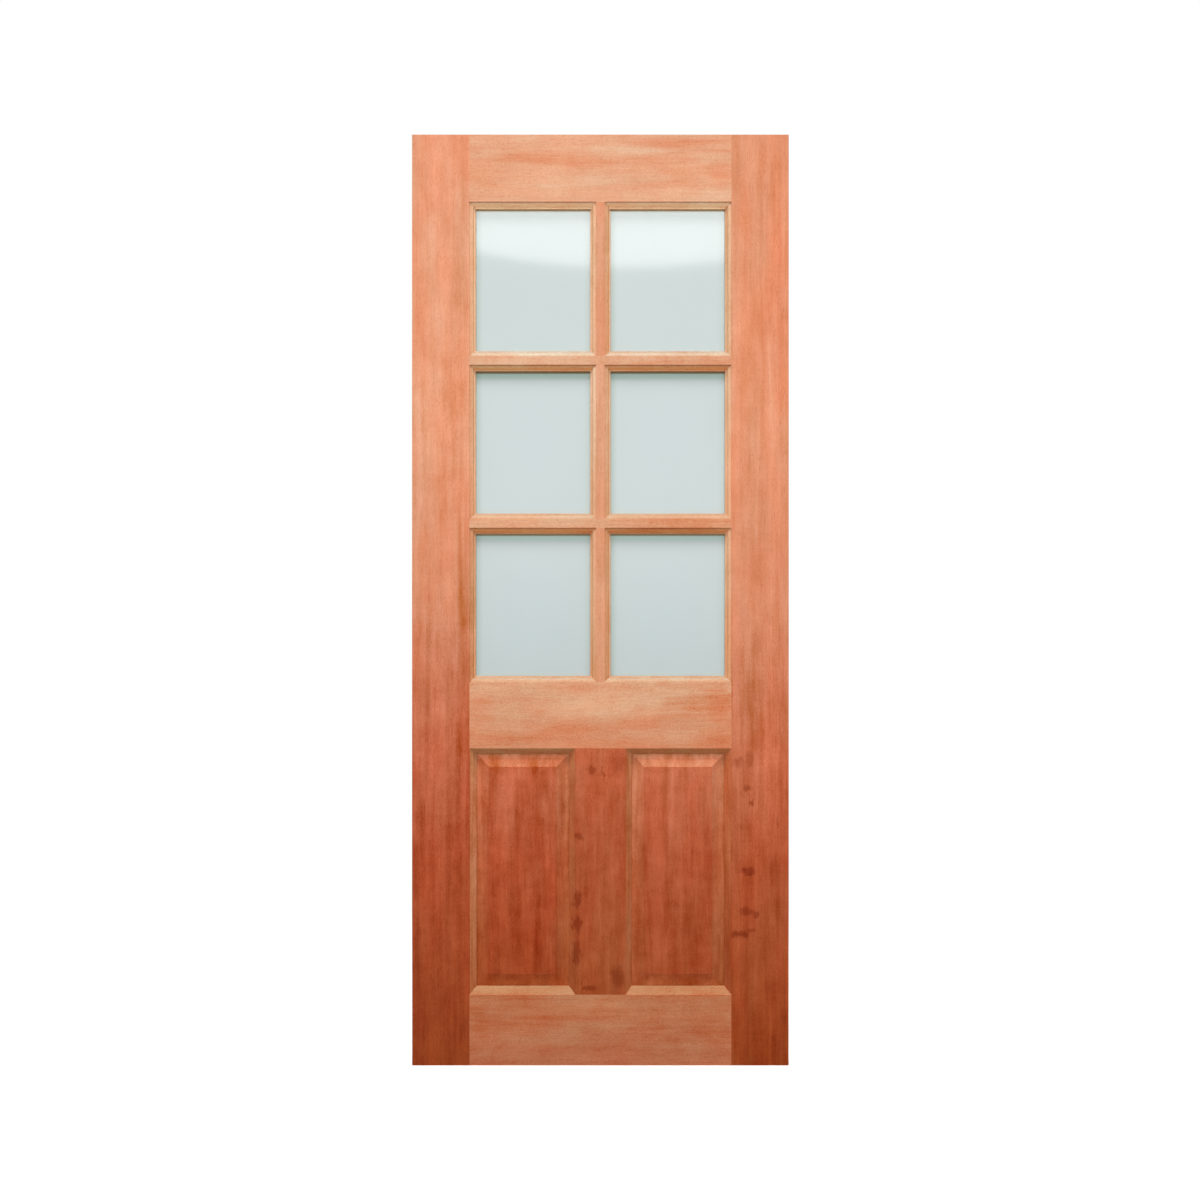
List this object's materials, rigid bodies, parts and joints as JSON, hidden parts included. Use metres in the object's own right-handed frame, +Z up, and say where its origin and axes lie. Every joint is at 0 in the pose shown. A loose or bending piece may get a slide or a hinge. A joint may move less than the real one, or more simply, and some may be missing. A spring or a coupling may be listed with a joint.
{
  "type": "glazed door leaf",
  "caption": "Hardwood door leaf with obscured panes between moulded glazing bars above a middle rail and raised, fielded panels below it.",
  "frame": {"origin": "foot of the hinge edge, halfway through the thickness", "axes": "+X across the leaf from the hinge edge to the lock edge, -Y out of the front, +Z up"},
  "size_m": [0.826, 0.044, 2.04],
  "materials": {
    "framing_timber": "planed and sanded reddish hardwood with fine straight grain",
    "panel_timber": "planed and sanded reddish hardwood with fine straight grain",
    "bead_timber": "moulded and sanded reddish hardwood",
    "obscured_glass": "smooth face over a pale obscured sheet"
  },
  "bodies": {
    "root": {"left_stile": "framing_timber", "right_stile": "framing_timber", "top_rail": "framing_timber", "middle_rail": "framing_timber", "bottom_rail": "framing_timber", "muntin": "framing_timber", "lower_cross_bar": "framing_timber", "upper_cross_bar": "framing_timber", "bottom_upright_bar": "framing_timber", "middle_upright_bar": "framing_timber", "top_upright_bar": "framing_timber", "left_panel": "panel_timber", "right_panel": "panel_timber", "bottom_left_pane": "obscured_glass", "bottom_left_sill_bead": "bead_timber", "bottom_left_left_bead": "bead_timber", "bottom_left_head_bead": "bead_timber", "bottom_left_right_bead": "bead_timber", "bottom_right_pane": "obscured_glass", "bottom_right_sill_bead": "bead_timber", "bottom_right_left_bead": "bead_timber", "bottom_right_head_bead": "bead_timber", "bottom_right_right_bead": "bead_timber", "middle_left_pane": "obscured_glass", "middle_left_sill_bead": "bead_timber", "middle_left_left_bead": "bead_timber", "middle_left_head_bead": "bead_timber", "middle_left_right_bead": "bead_timber", "middle_right_pane": "obscured_glass", "middle_right_sill_bead": "bead_timber", "middle_right_left_bead": "bead_timber", "middle_right_head_bead": "bead_timber", "middle_right_right_bead": "bead_timber", "top_left_pane": "obscured_glass", "top_left_sill_bead": "bead_timber", "top_left_left_bead": "bead_timber", "top_left_head_bead": "bead_timber", "top_left_right_bead": "bead_timber", "top_right_pane": "obscured_glass", "top_right_sill_bead": "bead_timber", "top_right_left_bead": "bead_timber", "top_right_head_bead": "bead_timber", "top_right_right_bead": "bead_timber"}
  },
  "joints": []
}
